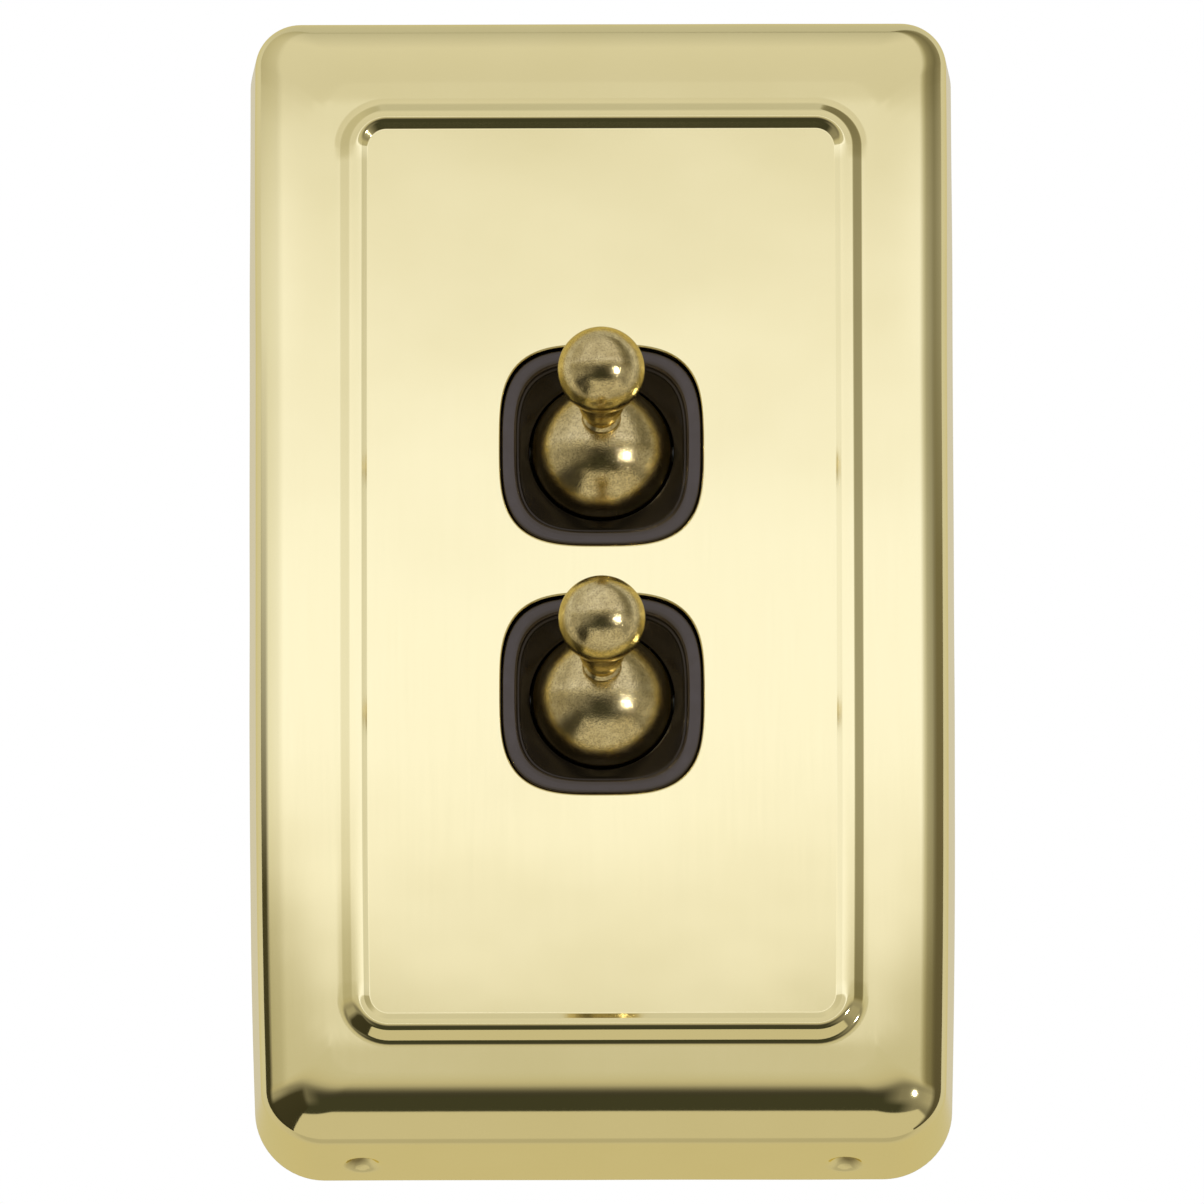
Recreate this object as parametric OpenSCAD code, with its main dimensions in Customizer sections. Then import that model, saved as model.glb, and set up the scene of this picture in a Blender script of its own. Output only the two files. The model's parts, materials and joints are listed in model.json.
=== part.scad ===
// Two-gang toggle wall switch: a pressed brass cover clipped over a moulded base frame that carries
// two identical change-over toggle mechanisms, one above the other.
// The wall is the plane y = 0, the front faces -Y, +Z is up. The origin is the middle of the wall face.

/* [Cover plate] */
// Width of the cover at its rim
cover_w = 72; // [70:0.5:76]
// Height of the cover at its rim
cover_h = 120.5; // [117:0.5:122]
// Distance from the wall to the flat front of the cover
cover_d = 14; // [14:0.25:16]
// Thickness of the brass sheet
sheet_t = 1; // [0.8:0.1:1.2]
// Outer radius of the fold between the front and the walls
fold_r = 4; // [3:0.25:5]
// Corner radius of the rim, seen from the front
corner_r = 6; // [6:0.25:8]
// Draft angle of the walls
draft = 5; // [4:0.5:6.5]
// Gap between the rim and the wall
wall_gap = 0.3; // [0.2:0.1:0.5]

/* [Bead] */
// Width over the outside of the raised bead frame
bead_w = 52.7; // [50:0.1:54]
// Height over the outside of the raised bead frame
bead_h = 99.4; // [96:0.1:100]
// Outer corner radius of the bead frame
bead_corner_r = 4.6; // [4:0.1:6]
// Width of the half-round bead
bead_t = 2.5; // [2:0.1:3]
// Height of the bead above the front
bead_rise = 0.9; // [0.8:0.05:1.2]

/* [Gangs] */
// Distance between the centres of the two toggles
gang_pitch = 26.2; // [26:0.1:27]
// How far the bead frame and the toggles stand above the middle of the plate
gang_rise = 0.5; // [0:0.1:0.5]
// Width of a cover aperture
aperture_w = 20.7; // [20.6:0.1:21.4]
// Height of a cover aperture
aperture_h = 21.1; // [20.8:0.1:21.6]
// Gap between an aperture and the bezel in it
bezel_gap = 0.3; // [0.2:0.05:0.4]
// How squarely the bezel and aperture bow: 2 is an ellipse, higher is squarer
squareness = 3.3; // [2.8:0.1:4]
// Width of the bezel's flat rim
bezel_rim = 1.45; // [1.2:0.05:1.6]

/* [Toggle] */
// Radius of the brass dome, which turns about its own centre
dome_r = 7.3; // [7:0.05:7.3]
// Radius of the ball on the end of the toggle
ball_r = 4.45; // [4:0.05:4.6]
// Distance from the dome's centre to the ball's centre
toggle_reach = 15.7; // [15:0.1:16.5]
// Tilt of the toggle above or below square-on at each end of its travel
toggle_tilt = 18; // [16:0.5:18]
// Tilt of the rocker at each end of its travel
rocker_tilt = 8; // [8:0.5:8.5]

/* [Fixing] */
// Distance between the two fixing screws
fixing_pitch = 84; // [84:0.1:84]
// Diameter of the fixing screws
fixing_d = 3.5; // [3.5:0.1:4]
// How far the fixing screws stand out behind the wall face
fixing_out = 22; // [15:1:30]

/* [Terminals] */
// Diameter of a wire hole in a terminal
wire_d = 3.2; // [2.8:0.1:3.4]
// Distance between neighbouring terminals
terminal_pitch = 8; // [8:0.1:8]

/* [Hidden] */
$fn = 48;
TINY = 0.01;
POLISHED_BRASS = [0.93, 0.85, 0.60];
WORN_BRASS = [0.72, 0.62, 0.36];
PLAIN_BRASS = [0.80, 0.68, 0.36];
COPPER = [0.80, 0.46, 0.30];
SILVER = [0.82, 0.82, 0.80];
STEEL = [0.66, 0.67, 0.69];
BROWN_PLASTIC = [0.16, 0.11, 0.09];
CREAM_PLASTIC = [0.86, 0.83, 0.74];
GREY_PLASTIC = [0.36, 0.35, 0.34];

GANGS = ["upper", "lower"];
PIECES = [
    "bezel", "housing", "terminal_housing", "knob", "dome", "core", "pivot_pin", "plunger",
    "plunger_spring", "rocker", "rocker_pin", "moving_contact", "moving_tips", "fixed_tips",
    "terminal_1", "terminal_2", "terminal_common", "terminal_screws"
];

// Levels along Y, all from the cover's flat front
front_y = -cover_d;
cover_inside_y = front_y + sheet_t;
bezel_face_y = front_y + 0.6;
bezel_flange_y = cover_inside_y + 0.1;
bezel_floor_y = front_y + 1.9;
housing_front_y = front_y + 2.6;
deck_front_y = front_y + 3.8;
hinge_y = front_y + 3.7;
rocker_y = hinge_y + 13;
housing_back_y = rocker_y + 5.3;
terminal_front_y = housing_back_y + 0.8;
terminal_back_y = terminal_front_y + 9;
mechanism_back_y = terminal_back_y + 1.2;

// Cover section
fold_centre_z = cover_d - fold_r;
fold_centre_r =
    corner_r - fold_r * cos(draft) - (fold_centre_z + fold_r * sin(draft) - wall_gap) * tan(draft);
dimple_x = 25;
dimple_up = 4.2;
dimple_r = 2;
dimple_back_off = 1.1;
dimple_bump_r = dimple_back_off + sheet_t + 0.85;

// Base frame
base_w = cover_w - 5.2;
base_h = cover_h - 5.4;
base_r = 5;
base_wall = 2;
deck_t = 2.2;
mech_w = 23.4;
mech_h = gang_pitch + 25.2;
mech_collar = 1.6;
boss_r = 6;
seat_y = -3.2;
head_r = 3.4;
head_t = 2.2;
land_w = 8;
land_reach = cover_h / 2 - sheet_t - 0.9;
groove_w = 4.6;

// Mechanism housing
housing_w = 23;
housing_h = 24.6;
housing_wall = 1.3;
bearing_w = 2.4;
bearing_in = dome_r + 0.5;
ear_w = 3;

// Toggle
dome_t = 0.8;
dome_tail = 3;
core_gap = 0.05;
core_flat = 5.9;
pin_r = 0.8;
pin_gap = 0.04;
tail_r = 3.2;
tail_end = 8.2;
socket_r = 1.75;
socket_floor = 2.2;
plunger_r = 1.7;
plunger_back = 4.6;
nose_r = 1.2;
nose_centre = 9.3;
neck_foot = core_flat + 0.05;

// Rocker: the valley's radius and centre follow the plunger's nose through the whole throw
rocker_half_w = 3.2;
valley_r = 4.84;
valley_y = -7.26;
rocker_back = 1.6;
rocker_half_h = 7.5;
blade_t = 0.6;
blade_half_h = 9.6;
tip_z = 8.4;
tip_t = 0.8;
tip_gap = 0.05;
strip_y = rocker_back + blade_t + 2 * tip_t + tip_gap;

// Terminals
block_x0 = -3;
block_x1 = 5;
block_half_h = 2.9;
clamp_r = 1.1;
clamp_y = terminal_front_y + 4.5;

function polar(r, a) = [r * cos(a), r * sin(a)];
function arc(centre, r, a0, a1, steps) =
    [for (i = [0:steps]) centre + polar(r, a0 + (a1 - a0) * i / steps)];
function signed_power(v, p) = (v < 0 ? -1 : 1) * pow(abs(v), p);
function squircle(w, h, steps = 64) = [
    for (i = [0:steps - 1])
        let (a = 360 * i / steps)
            [w / 2 * signed_power(cos(a), 2 / squareness), h / 2 * signed_power(sin(a), 2 / squareness)]
];
function gang_z(gang) = gang_rise + (gang == "upper" ? 0.5 : -0.5) * gang_pitch;

// Extrudes a shape drawn in X and Z from y0 to y1
module along_y(y0, y1) {
    translate([0, y1, 0]) rotate([90, 0, 0]) linear_extrude(y1 - y0) children();
}

// A shape drawn in Y and Z, extruded from x0 to x1
module along_x(x0, x1) {
    translate([x0, 0, 0]) rotate([90, 0, 90]) linear_extrude(x1 - x0) children();
}

module box(lo, hi) {
    translate(lo) cube(hi - lo);
}

module rod_x(r, x0, x1) {
    translate([x0, 0, 0]) rotate([0, 90, 0]) cylinder(r = r, h = x1 - x0);
}

module rod_y(r, y0, y1) {
    translate([0, y0, 0]) rotate([-90, 0, 0]) cylinder(r = r, h = y1 - y0);
}

module both_sides() {
    children();
    mirror([1, 0, 0]) children();
}

module top_and_bottom() {
    children();
    mirror([0, 0, 1]) children();
}

module rounded_rect(w, h, r) {
    square([w, h - 2 * r], center = true);
    square([w - 2 * r, h], center = true);
    for (x = [-1, 1], z = [-1, 1]) translate([x * (w / 2 - r), z * (h / 2 - r)]) circle(r);
}

// Carries a section round a rounded rectangle. The section's X runs outwards from the corner's axis.
module around(w, h, r) {
    for (a = [0, 1], b = [0, 1])
        mirror([a, 0, 0]) mirror([0, b, 0]) translate([w / 2 - r, h / 2 - r, 0])
            rotate_extrude(angle = 90) children();
    for (a = [0, 1])
        mirror([a, 0, 0]) translate([w / 2 - r, 0, 0])
            rotate([90, 0, 0]) linear_extrude(h - 2 * r, center = true) children();
    for (b = [0, 1])
        mirror([0, b, 0]) translate([0, h / 2 - r, 0])
            rotate([90, 0, 90]) linear_extrude(w - 2 * r, center = true) children();
}

module at_gang(gang) {
    translate([0, 0, gang_z(gang)]) children();
}

// The toggle's own frame: its Z axis runs from the dome's centre out through the ball
module toggle_frame(gang) {
    translate([0, hinge_y, gang_z(gang)]) rotate([90 - toggle_tilt, 0, 0]) children();
}

// The rocker's own frame, tilted as it rests with the toggle up
module rocker_frame(gang) {
    translate([0, rocker_y, gang_z(gang)]) rotate([rocker_tilt, 0, 0]) children();
}

module cover_section() {
    inner_r = fold_r - sheet_t;
    centre = [fold_centre_r, fold_centre_z];
    polygon(concat(
        [[corner_r, wall_gap]],
        arc(centre, fold_r, draft, 90, 10),
        [[0, cover_d], [0, cover_d - sheet_t]],
        arc(centre, inner_r, 90, draft, 8),
        [[corner_r - sheet_t / cos(draft), wall_gap]]
    ));
}

module bead_section() {
    rb = (pow(bead_t / 2, 2) + pow(bead_rise, 2)) / (2 * bead_rise);
    a = asin(bead_t / 2 / rb);
    centre = [bead_corner_r - bead_t / 2, cover_d + bead_rise - rb];
    polygon(concat(
        arc(centre, rb, 90 - a, 90 + a, 12),
        [[bead_corner_r - bead_t, cover_d - sheet_t / 2], [bead_corner_r, cover_d - sheet_t / 2]]
    ));
}

// Where a clip dimple's sphere is centred, just outside the top wall
module at_dimples() {
    for (x = [-dimple_x, dimple_x])
        top_and_bottom()
            translate([x, -wall_gap - dimple_up, cover_h / 2 - dimple_up * tan(draft) + dimple_back_off])
                children();
}

module cover_plate() {
    color(POLISHED_BRASS) difference() {
        union() {
            rotate([90, 0, 0]) {
                around(cover_w, cover_h, corner_r) cover_section();
                translate([0, 0, cover_d - sheet_t / 2])
                    cube([cover_w - 2 * corner_r, cover_h - 2 * corner_r, sheet_t], center = true);
                translate([0, gang_rise, 0]) around(bead_w, bead_h, bead_corner_r) bead_section();
            }
            intersection() {
                at_dimples() sphere(dimple_bump_r);
                box(
                    [-cover_w / 2, -wall_gap - 2 * dimple_up, -cover_h / 2 + sheet_t],
                    [cover_w / 2, -wall_gap, cover_h / 2 - sheet_t]
                );
            }
        }
        at_dimples() sphere(dimple_r);
        for (gang = GANGS)
            at_gang(gang)
                along_y(front_y - 1, cover_inside_y + 1) polygon(squircle(aperture_w, aperture_h));
    }
}

module base_frame() {
    color(CREAM_PLASTIC) difference() {
        union() {
            along_y(deck_front_y, deck_front_y + deck_t) rounded_rect(base_w, base_h, base_r);
            along_y(deck_front_y, 0) difference() {
                rounded_rect(base_w, base_h, base_r);
                rounded_rect(base_w - 2 * base_wall, base_h - 2 * base_wall, base_r - base_wall);
            }
            along_y(deck_front_y, 0) translate([0, gang_rise])
                square([mech_w + 2 * mech_collar, mech_h + 2 * mech_collar], center = true);
            top_and_bottom() {
                translate([0, 0, fixing_pitch / 2]) rod_y(boss_r, deck_front_y, 0);
                box([-1, deck_front_y, mech_h / 2], [1, 0, base_h / 2 - 1]);
            }
            both_sides() {
                for (z = [-fixing_pitch / 2, -gang_pitch / 2, gang_pitch / 2, fixing_pitch / 2])
                    translate([0, 0, z]) box([4, deck_front_y, -0.8], [base_w / 2 - 1, 0, 0.8]);
                top_and_bottom()
                    box([dimple_x - land_w / 2, -7, base_h / 2 - 1], [dimple_x + land_w / 2, 0, land_reach]);
            }
        }
        along_y(deck_front_y - 1, 1) translate([0, gang_rise]) square([mech_w, mech_h], center = true);
        top_and_bottom() {
            translate([0, 0, fixing_pitch / 2]) {
                rod_y(head_r + 0.8, deck_front_y - 1, seat_y);
                rod_y(fixing_d / 2 + 0.2, seat_y - 1, 1);
            }
            both_sides()
                box([dimple_x - groove_w / 2, -8, base_h / 2 - 0.9], [dimple_x + groove_w / 2, 1, land_reach + 1]);
        }
    }
}

// Each screw has a waisted shank through the base and its thread's outer radius beyond it
module fixing_screws() {
    shank_end = 0.4;
    color(STEEL) top_and_bottom() translate([0, 0, fixing_pitch / 2]) difference() {
        union() {
            rod_y(fixing_d / 2 - 0.35, seat_y - 1, shank_end);
            rod_y(fixing_d / 2, shank_end, fixing_out - 1);
            translate([0, fixing_out - 1, 0]) rotate([-90, 0, 0])
                cylinder(r1 = fixing_d / 2, r2 = fixing_d / 2 - 0.6, h = 1);
            rod_y(head_r, seat_y - head_t, seat_y);
        }
        box([-head_r - 1, seat_y - head_t - 1, -0.45], [head_r + 1, seat_y - head_t + 1, 0.45]);
    }
}

module bezel(gang) {
    rim_w = aperture_w - 2 * bezel_gap;
    rim_h = aperture_h - 2 * bezel_gap;
    color(BROWN_PLASTIC) at_gang(gang) difference() {
        union() {
            along_y(bezel_face_y, housing_front_y) polygon(squircle(rim_w, rim_h));
            along_y(bezel_flange_y, housing_front_y) rounded_rect(housing_w, housing_h, 3);
        }
        along_y(bezel_face_y - 1, bezel_floor_y)
            polygon(squircle(rim_w - 2 * bezel_rim, rim_h - 2 * bezel_rim));
        rod_y(dome_r + 0.1, bezel_face_y, housing_front_y + 1);
    }
}

module housing(gang) {
    inner_w = housing_w - 2 * housing_wall;
    inner_h = housing_h - 2 * housing_wall;
    color(GREY_PLASTIC) at_gang(gang) difference() {
        union() {
            along_y(housing_front_y, housing_back_y) square([housing_w, housing_h], center = true);
            both_sides()
                box([housing_w / 2 - 1, housing_front_y, -8], [housing_w / 2 + ear_w, deck_front_y, 8]);
        }
        difference() {
            along_y(housing_front_y - 1, housing_back_y + 1) square([inner_w, inner_h], center = true);
            both_sides()
                box([bearing_in, housing_front_y, -bearing_w], [housing_w / 2, hinge_y + 3, bearing_w]);
        }
        translate([0, hinge_y, 0]) rod_x(pin_r + pin_gap, -housing_w / 2 - 1, housing_w / 2 + 1);
    }
}

module terminal_housing(gang) {
    pocket_gap = 0.1;
    color(GREY_PLASTIC) at_gang(gang) difference() {
        along_y(housing_back_y, mechanism_back_y) square([housing_w, housing_h], center = true);
        for (i = [-1:1]) translate([0, 0, i * terminal_pitch]) {
            box(
                [block_x0 - pocket_gap, housing_back_y - 1, -block_half_h - pocket_gap],
                [block_x1 + pocket_gap, terminal_back_y + pocket_gap, block_half_h + pocket_gap]
            );
            rod_y(wire_d / 2 + 0.5, terminal_back_y, mechanism_back_y + 1);
            translate([0, clamp_y, 0]) rod_x(2.3, block_x1, housing_w / 2 + 1);
        }
        box([-5.3, housing_back_y - 1, -2.1], [5.3, terminal_front_y + 0.05, 2.1]);
    }
}

module knob(gang) {
    color(WORN_BRASS) toggle_frame(gang) {
        translate([0, 0, toggle_reach]) sphere(ball_r);
        rotate_extrude() polygon([
            [0, 2.5], [1.5, 2.5], [1.5, neck_foot], [2.35, neck_foot], [2.35, 6.9], [1.55, 7.4],
            [1.55, 8.1], [2.35, 9.4], [2.45, 12], [0, 12]
        ]);
    }
}

module dome(gang) {
    color(WORN_BRASS) toggle_frame(gang) difference() {
        sphere(dome_r);
        sphere(dome_r - dome_t);
        box([-10, -10, -10], [10, 10, -dome_tail]);
        cylinder(r = 2.4, h = 10);
        rod_x(pin_r + 0.02, -10, 10);
    }
}

module core(gang) {
    color(CREAM_PLASTIC) toggle_frame(gang) difference() {
        union() {
            intersection() {
                sphere(dome_r - dome_t - core_gap);
                box([-10, -10, -dome_tail], [10, 10, core_flat]);
            }
            translate([0, 0, -tail_end]) cylinder(r = tail_r, h = tail_end);
        }
        translate([0, 0, -tail_end - 1]) cylinder(r = socket_r, h = tail_end + 1 - socket_floor);
        translate([0, 0, 2.45]) cylinder(r = 1.52, h = 5);
        rod_x(pin_r + 0.01, -10, 10);
    }
}

module pivot_pin(gang) {
    half = housing_w / 2 - 1;
    color(STEEL) translate([0, hinge_y, gang_z(gang)]) rod_x(pin_r, -half, half);
}

module plunger(gang) {
    color(PLAIN_BRASS) toggle_frame(gang) {
        translate([0, 0, -tail_end + 0.2]) cylinder(r = plunger_r, h = tail_end - plunger_back - 0.2);
        translate([0, 0, -nose_centre]) cylinder(r = nose_r, h = nose_centre - plunger_back);
        translate([0, 0, -nose_centre]) sphere(nose_r);
    }
}

// A helix of round wire from z0 to z1 about the Z axis
module coil(r, wire_r, z0, z1, turns) {
    sides = 6;
    per_turn = 14;
    rings = turns * per_turn;
    points = [
        for (i = [0:rings]) for (j = [0:sides - 1])
            let (a = 360 * i / per_turn, b = 360 * j / sides, d = r + wire_r * cos(b))
                [d * cos(a), d * sin(a), z0 + (z1 - z0) * i / rings + wire_r * sin(b)]
    ];
    walls = [
        for (i = [0:rings - 1]) for (j = [0:sides - 1])
            let (k = (j + 1) % sides)
                [i * sides + j, i * sides + k, (i + 1) * sides + k, (i + 1) * sides + j]
    ];
    ends = [
        [for (j = [sides - 1:-1:0]) j],
        [for (j = [0:sides - 1]) rings * sides + j]
    ];
    polyhedron(points, concat(walls, ends));
}

module plunger_spring(gang) {
    wire_r = 0.2;
    color(STEEL) toggle_frame(gang)
        coil(socket_r - wire_r - 0.1, wire_r, -plunger_back + 0.25, -socket_floor - 0.25, 3);
}

module rocker(gang) {
    color(CREAM_PLASTIC) rocker_frame(gang) difference() {
        along_x(-rocker_half_w, rocker_half_w) polygon([
            [rocker_back, -rocker_half_h], [-0.6, -rocker_half_h], [-1.4, -5.4], [-4, -4.2],
            [-4, 4.2], [-1.4, 5.4], [-0.6, rocker_half_h], [rocker_back, rocker_half_h]
        ]);
        translate([0, valley_y, 0]) rod_x(valley_r, -10, 10);
        rod_x(pin_r + 0.01, -10, 10);
    }
}

module rocker_pin(gang) {
    color(STEEL) translate([0, rocker_y, gang_z(gang)]) rod_x(pin_r, -6, 6);
}

module moving_contact(gang) {
    cheek_x = rocker_half_w + 0.05;
    color(COPPER) rocker_frame(gang) difference() {
        union() {
            box([-2.2, rocker_back, -blade_half_h], [2.2, rocker_back + blade_t, blade_half_h]);
            box([-cheek_x - blade_t, rocker_back, -1.5], [cheek_x + blade_t, rocker_back + blade_t, 1.5]);
            both_sides()
                box([cheek_x, -1.5, -1.5], [cheek_x + blade_t, rocker_back + blade_t, 1.5]);
        }
        rod_x(pin_r + 0.01, -10, 10);
    }
}

module moving_tips(gang) {
    y0 = rocker_back + blade_t;
    color(SILVER) rocker_frame(gang)
        top_and_bottom() translate([0, 0, tip_z]) rod_y(1.2, y0, y0 + tip_t);
}

// Each fixed contact is square to the rocker when the rocker closes on it
module closed_frame(gang, side) {
    translate([0, rocker_y, gang_z(gang)]) rotate([-side * rocker_tilt, 0, 0])
        translate([0, 0, side * tip_z]) children();
}

module fixed_tips(gang) {
    color(SILVER)
        for (side = [-1, 1]) closed_frame(gang, side) rod_y(1.4, strip_y - tip_t, strip_y);
}

module terminal_block(gang, place) {
    translate([0, 0, gang_z(gang) + place * terminal_pitch]) difference() {
        box([block_x0, terminal_front_y, -block_half_h], [block_x1, terminal_back_y, block_half_h]);
        rod_y(wire_d / 2, terminal_front_y + 1, terminal_back_y + 1);
        translate([0, clamp_y, 0]) rod_x(clamp_r, 0, block_x1 + 1);
    }
}

module contact_terminal(gang, side) {
    color(PLAIN_BRASS) union() {
        terminal_block(gang, side);
        closed_frame(gang, side) box([-1.8, strip_y, -1.7], [1.8, strip_y + 0.7, 1.7]);
        at_gang(gang) translate([0, 0, side * terminal_pitch])
            box([-1.8, housing_back_y + 0.2, -1.2], [1.8, terminal_front_y + TINY, 1.2]);
    }
}

module terminal_1(gang) {
    contact_terminal(gang, -1);
}

module terminal_2(gang) {
    contact_terminal(gang, 1);
}

module terminal_common(gang) {
    ear_in = 4.4;
    ear_t = 0.8;
    color(PLAIN_BRASS) {
        terminal_block(gang, 0);
        at_gang(gang) difference() {
            union() {
                box([-ear_in - ear_t, housing_back_y, -2], [ear_in + ear_t, terminal_front_y + TINY, 2]);
                both_sides()
                    box([ear_in, rocker_y - 1.6, -2], [ear_in + ear_t, terminal_front_y, 2]);
            }
            translate([0, rocker_y, 0]) rod_x(pin_r + pin_gap, -10, 10);
        }
    }
}

module terminal_screws(gang) {
    x0 = wire_d / 2 + 0.15;
    head_x = block_x1 + 1;
    color(STEEL) at_gang(gang) for (i = [-1:1])
        translate([0, clamp_y, i * terminal_pitch]) difference() {
            union() {
                rod_x(clamp_r, x0, head_x);
                rod_x(1.9, head_x, head_x + 1.6);
            }
            box([head_x + 0.8, -3, -0.35], [head_x + 2, 3, 0.35]);
        }
}

cover_plate();
base_frame();
fixing_screws();
for (gang = GANGS) {
    bezel(gang);
    housing(gang);
    terminal_housing(gang);
    knob(gang);
    dome(gang);
    core(gang);
    pivot_pin(gang);
    plunger(gang);
    plunger_spring(gang);
    rocker(gang);
    rocker_pin(gang);
    moving_contact(gang);
    moving_tips(gang);
    fixed_tips(gang);
    terminal_1(gang);
    terminal_2(gang);
    terminal_common(gang);
    terminal_screws(gang);
}
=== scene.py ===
"""Looks for the two-gang toggle wall switch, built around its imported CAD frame.

The wall is the plane y = 0, the front faces -Y and +Z is up. Shapes are worked out in millimetres and
made in metres. Sizes come from the frame's own boxes wherever the frame has them.
"""
import json
import math

import bmesh
import bpy
import numpy as np
from mathutils import Matrix, Vector, noise
from mathutils.geometry import delaunay_2d_cdt


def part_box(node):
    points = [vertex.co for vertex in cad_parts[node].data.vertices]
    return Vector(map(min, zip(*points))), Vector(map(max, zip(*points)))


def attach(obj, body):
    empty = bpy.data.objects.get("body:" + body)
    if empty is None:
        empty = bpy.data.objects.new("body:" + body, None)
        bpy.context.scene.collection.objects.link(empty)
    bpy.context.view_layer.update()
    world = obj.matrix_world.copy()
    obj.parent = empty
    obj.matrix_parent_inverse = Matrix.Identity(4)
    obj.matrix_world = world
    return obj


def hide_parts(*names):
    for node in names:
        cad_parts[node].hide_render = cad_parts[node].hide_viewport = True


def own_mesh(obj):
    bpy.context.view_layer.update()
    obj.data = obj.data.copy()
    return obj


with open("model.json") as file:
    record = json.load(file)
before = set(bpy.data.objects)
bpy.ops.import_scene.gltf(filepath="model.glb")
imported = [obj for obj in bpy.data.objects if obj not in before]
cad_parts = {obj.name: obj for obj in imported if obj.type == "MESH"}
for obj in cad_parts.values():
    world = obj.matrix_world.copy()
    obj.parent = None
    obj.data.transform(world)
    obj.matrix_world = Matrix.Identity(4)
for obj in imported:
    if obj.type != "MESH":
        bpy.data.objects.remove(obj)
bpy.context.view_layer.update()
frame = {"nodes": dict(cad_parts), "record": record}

MM = 0.001
GANGS = ("upper", "lower")


# ---------------------------------------------------------------- sizes, in millimetres

def box_mm(node):
    low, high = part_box(node)
    return np.array(low) / MM, np.array(high) / MM


COVER_LOW, COVER_HIGH = box_mm("cover_plate")
HALF_W = COVER_HIGH[0]
HALF_H = COVER_HIGH[2]
WALL_GAP = -COVER_HIGH[1]
BEAD_RISE = 0.9
COVER_D = -COVER_LOW[1] - BEAD_RISE
RIM_D = COVER_D - 0.45
SHEET = 1.0
TOP_CORNER_R = 5.0
LOW_CORNER_R = 7.0
FLAT_CORNER_R = 3.0
DRAFT = math.radians(5)

# How far the pressing is from flat and straight
CROWN = 0.3
SIDE_CROWN = 0.08
WAVE_LENGTH = 14.0
WALL_WAVE = 0.035
FRONT_WAVE = 0.010
LEFT_BOW = 0.0135
RIGHT_BOW = 0.010
BOW_SHIFT = 0.68
LOW_LEAN = 0.8
SIDE_LEAN = 0.2
TOP_LEAN = 0.2
RIM_TILT = math.tan(math.radians(0.35))

# The front rolls over gently, then bends tightly into the walls
ROLL_R = 8.0
ROLL_EASE = 14.0
ROLL_EASE_END = math.radians(12)
BEND_R = 2.0
ROLL_END = math.radians(45)

# The bead's crest line, and its section: a round crest, a short steep inner side and a longer outer side
CREST_HALF_W = 25.04
CREST_HALF_H = 47.85
BEAD_UP = 0.55
CREST_CORNER_R = 3.1
CREST_R = 1.25
BEAD_REACH = 2.1
INNER_SLOPE = math.radians(29.5)
INNER_STRAIGHT = 0.575
INNER_FOOT_R = 0.2
OUTER_SLOPE = math.radians(38)
OUTER_STRAIGHT = 0.82
OUTER_FOOT_R = 1.1

SQUARENESS = 3.3
APERTURE = (20.7 / 2, 21.1 / 2)
BEZEL_HALF = (APERTURE[0] - 0.16, APERTURE[1] - 0.16)
BEZEL_FACE = -COVER_D + 0.6
BEZEL_BACK = -COVER_D + 2.6
BEZEL_RIM = 1.45
EDGE_ROLL = 0.14
EDGE_BURR = 0.08

HINGE_Y = -COVER_D + 3.7
TOGGLE_TILT = math.radians(18)
BALL_R = 4.45
TOGGLE_REACH = 15.7
DOME_R = 7.3
DOME_T = 0.8
DOME_TAIL = 3.0

DIMPLE_X = 25.0
DIMPLE_UP = 4.2
DIMPLE_R = 2.3
DIMPLE_DEPTH = 0.85

FIXING_Z = box_mm("fixing_screws")[1][2] - 3.4


def gang_z(gang):
    low, high = box_mm(gang + "_housing")
    return (low[2] + high[2]) / 2


# ---------------------------------------------------------------- mesh helpers

def make_mesh(name, points, faces, material, body, stands_for=()):
    """A smooth piece in the row frame, from points in millimetres."""
    mesh = bpy.data.meshes.new(name)
    mesh.from_pydata([tuple(p) for p in np.asarray(points) * MM], [], [list(f) for f in faces])
    mesh.validate()
    mesh.shade_smooth()
    piece = bpy.data.objects.new(name, mesh)
    bpy.context.scene.collection.objects.link(piece)
    piece.data.materials.append(material)
    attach(piece, body)
    if stands_for:
        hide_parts(*stands_for)
    return piece


def loft(rings, closed_path=False, first_cap=False, last_cap=False):
    """Points and faces that join rings of equally many points, each ring an array of (x, y, z)."""
    count = len(rings[0])
    points = np.concatenate(rings)
    faces = []
    last = len(rings) if closed_path else len(rings) - 1
    for i in range(last):
        a = i * count
        b = (i + 1) % len(rings) * count
        for j in range(count):
            k = (j + 1) % count
            faces.append((a + j, a + k, b + k, b + j))
    if first_cap:
        faces.append(tuple(range(count - 1, -1, -1)))
    if last_cap:
        faces.append(tuple(range(points.shape[0] - count, points.shape[0])))
    return points, faces


def arc(centre, radius, start, end, steps):
    """Points on a circle of a section, with angles in degrees."""
    angles = np.radians(np.linspace(start, end, steps + 1))
    return np.stack([centre[0] + radius * np.cos(angles), centre[1] + radius * np.sin(angles)], 1)


def rounded(corners, radii, steps=4):
    """An open line through the corners, each turned on its own radius."""
    corners = [np.array(c, float) for c in corners]
    line = [corners[0]]
    for before, here, after, radius in zip(corners, corners[1:], corners[2:], radii):
        u = (before - here) / np.linalg.norm(before - here)
        v = (after - here) / np.linalg.norm(after - here)
        half = math.acos(np.clip(u @ v, -1, 1)) / 2
        reach = radius / math.tan(half)
        middle = here + (u + v) / np.linalg.norm(u + v) * radius / math.sin(half)
        start = here + u * reach - middle
        end = here + v * reach - middle
        sweep = math.pi - 2 * half
        for i in range(steps + 1):
            t = i / steps
            point = (start * math.sin((1 - t) * sweep) + end * math.sin(t * sweep)) / math.sin(sweep)
            line.append(middle + point)
    line.append(corners[-1])
    return np.array(line)


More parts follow.
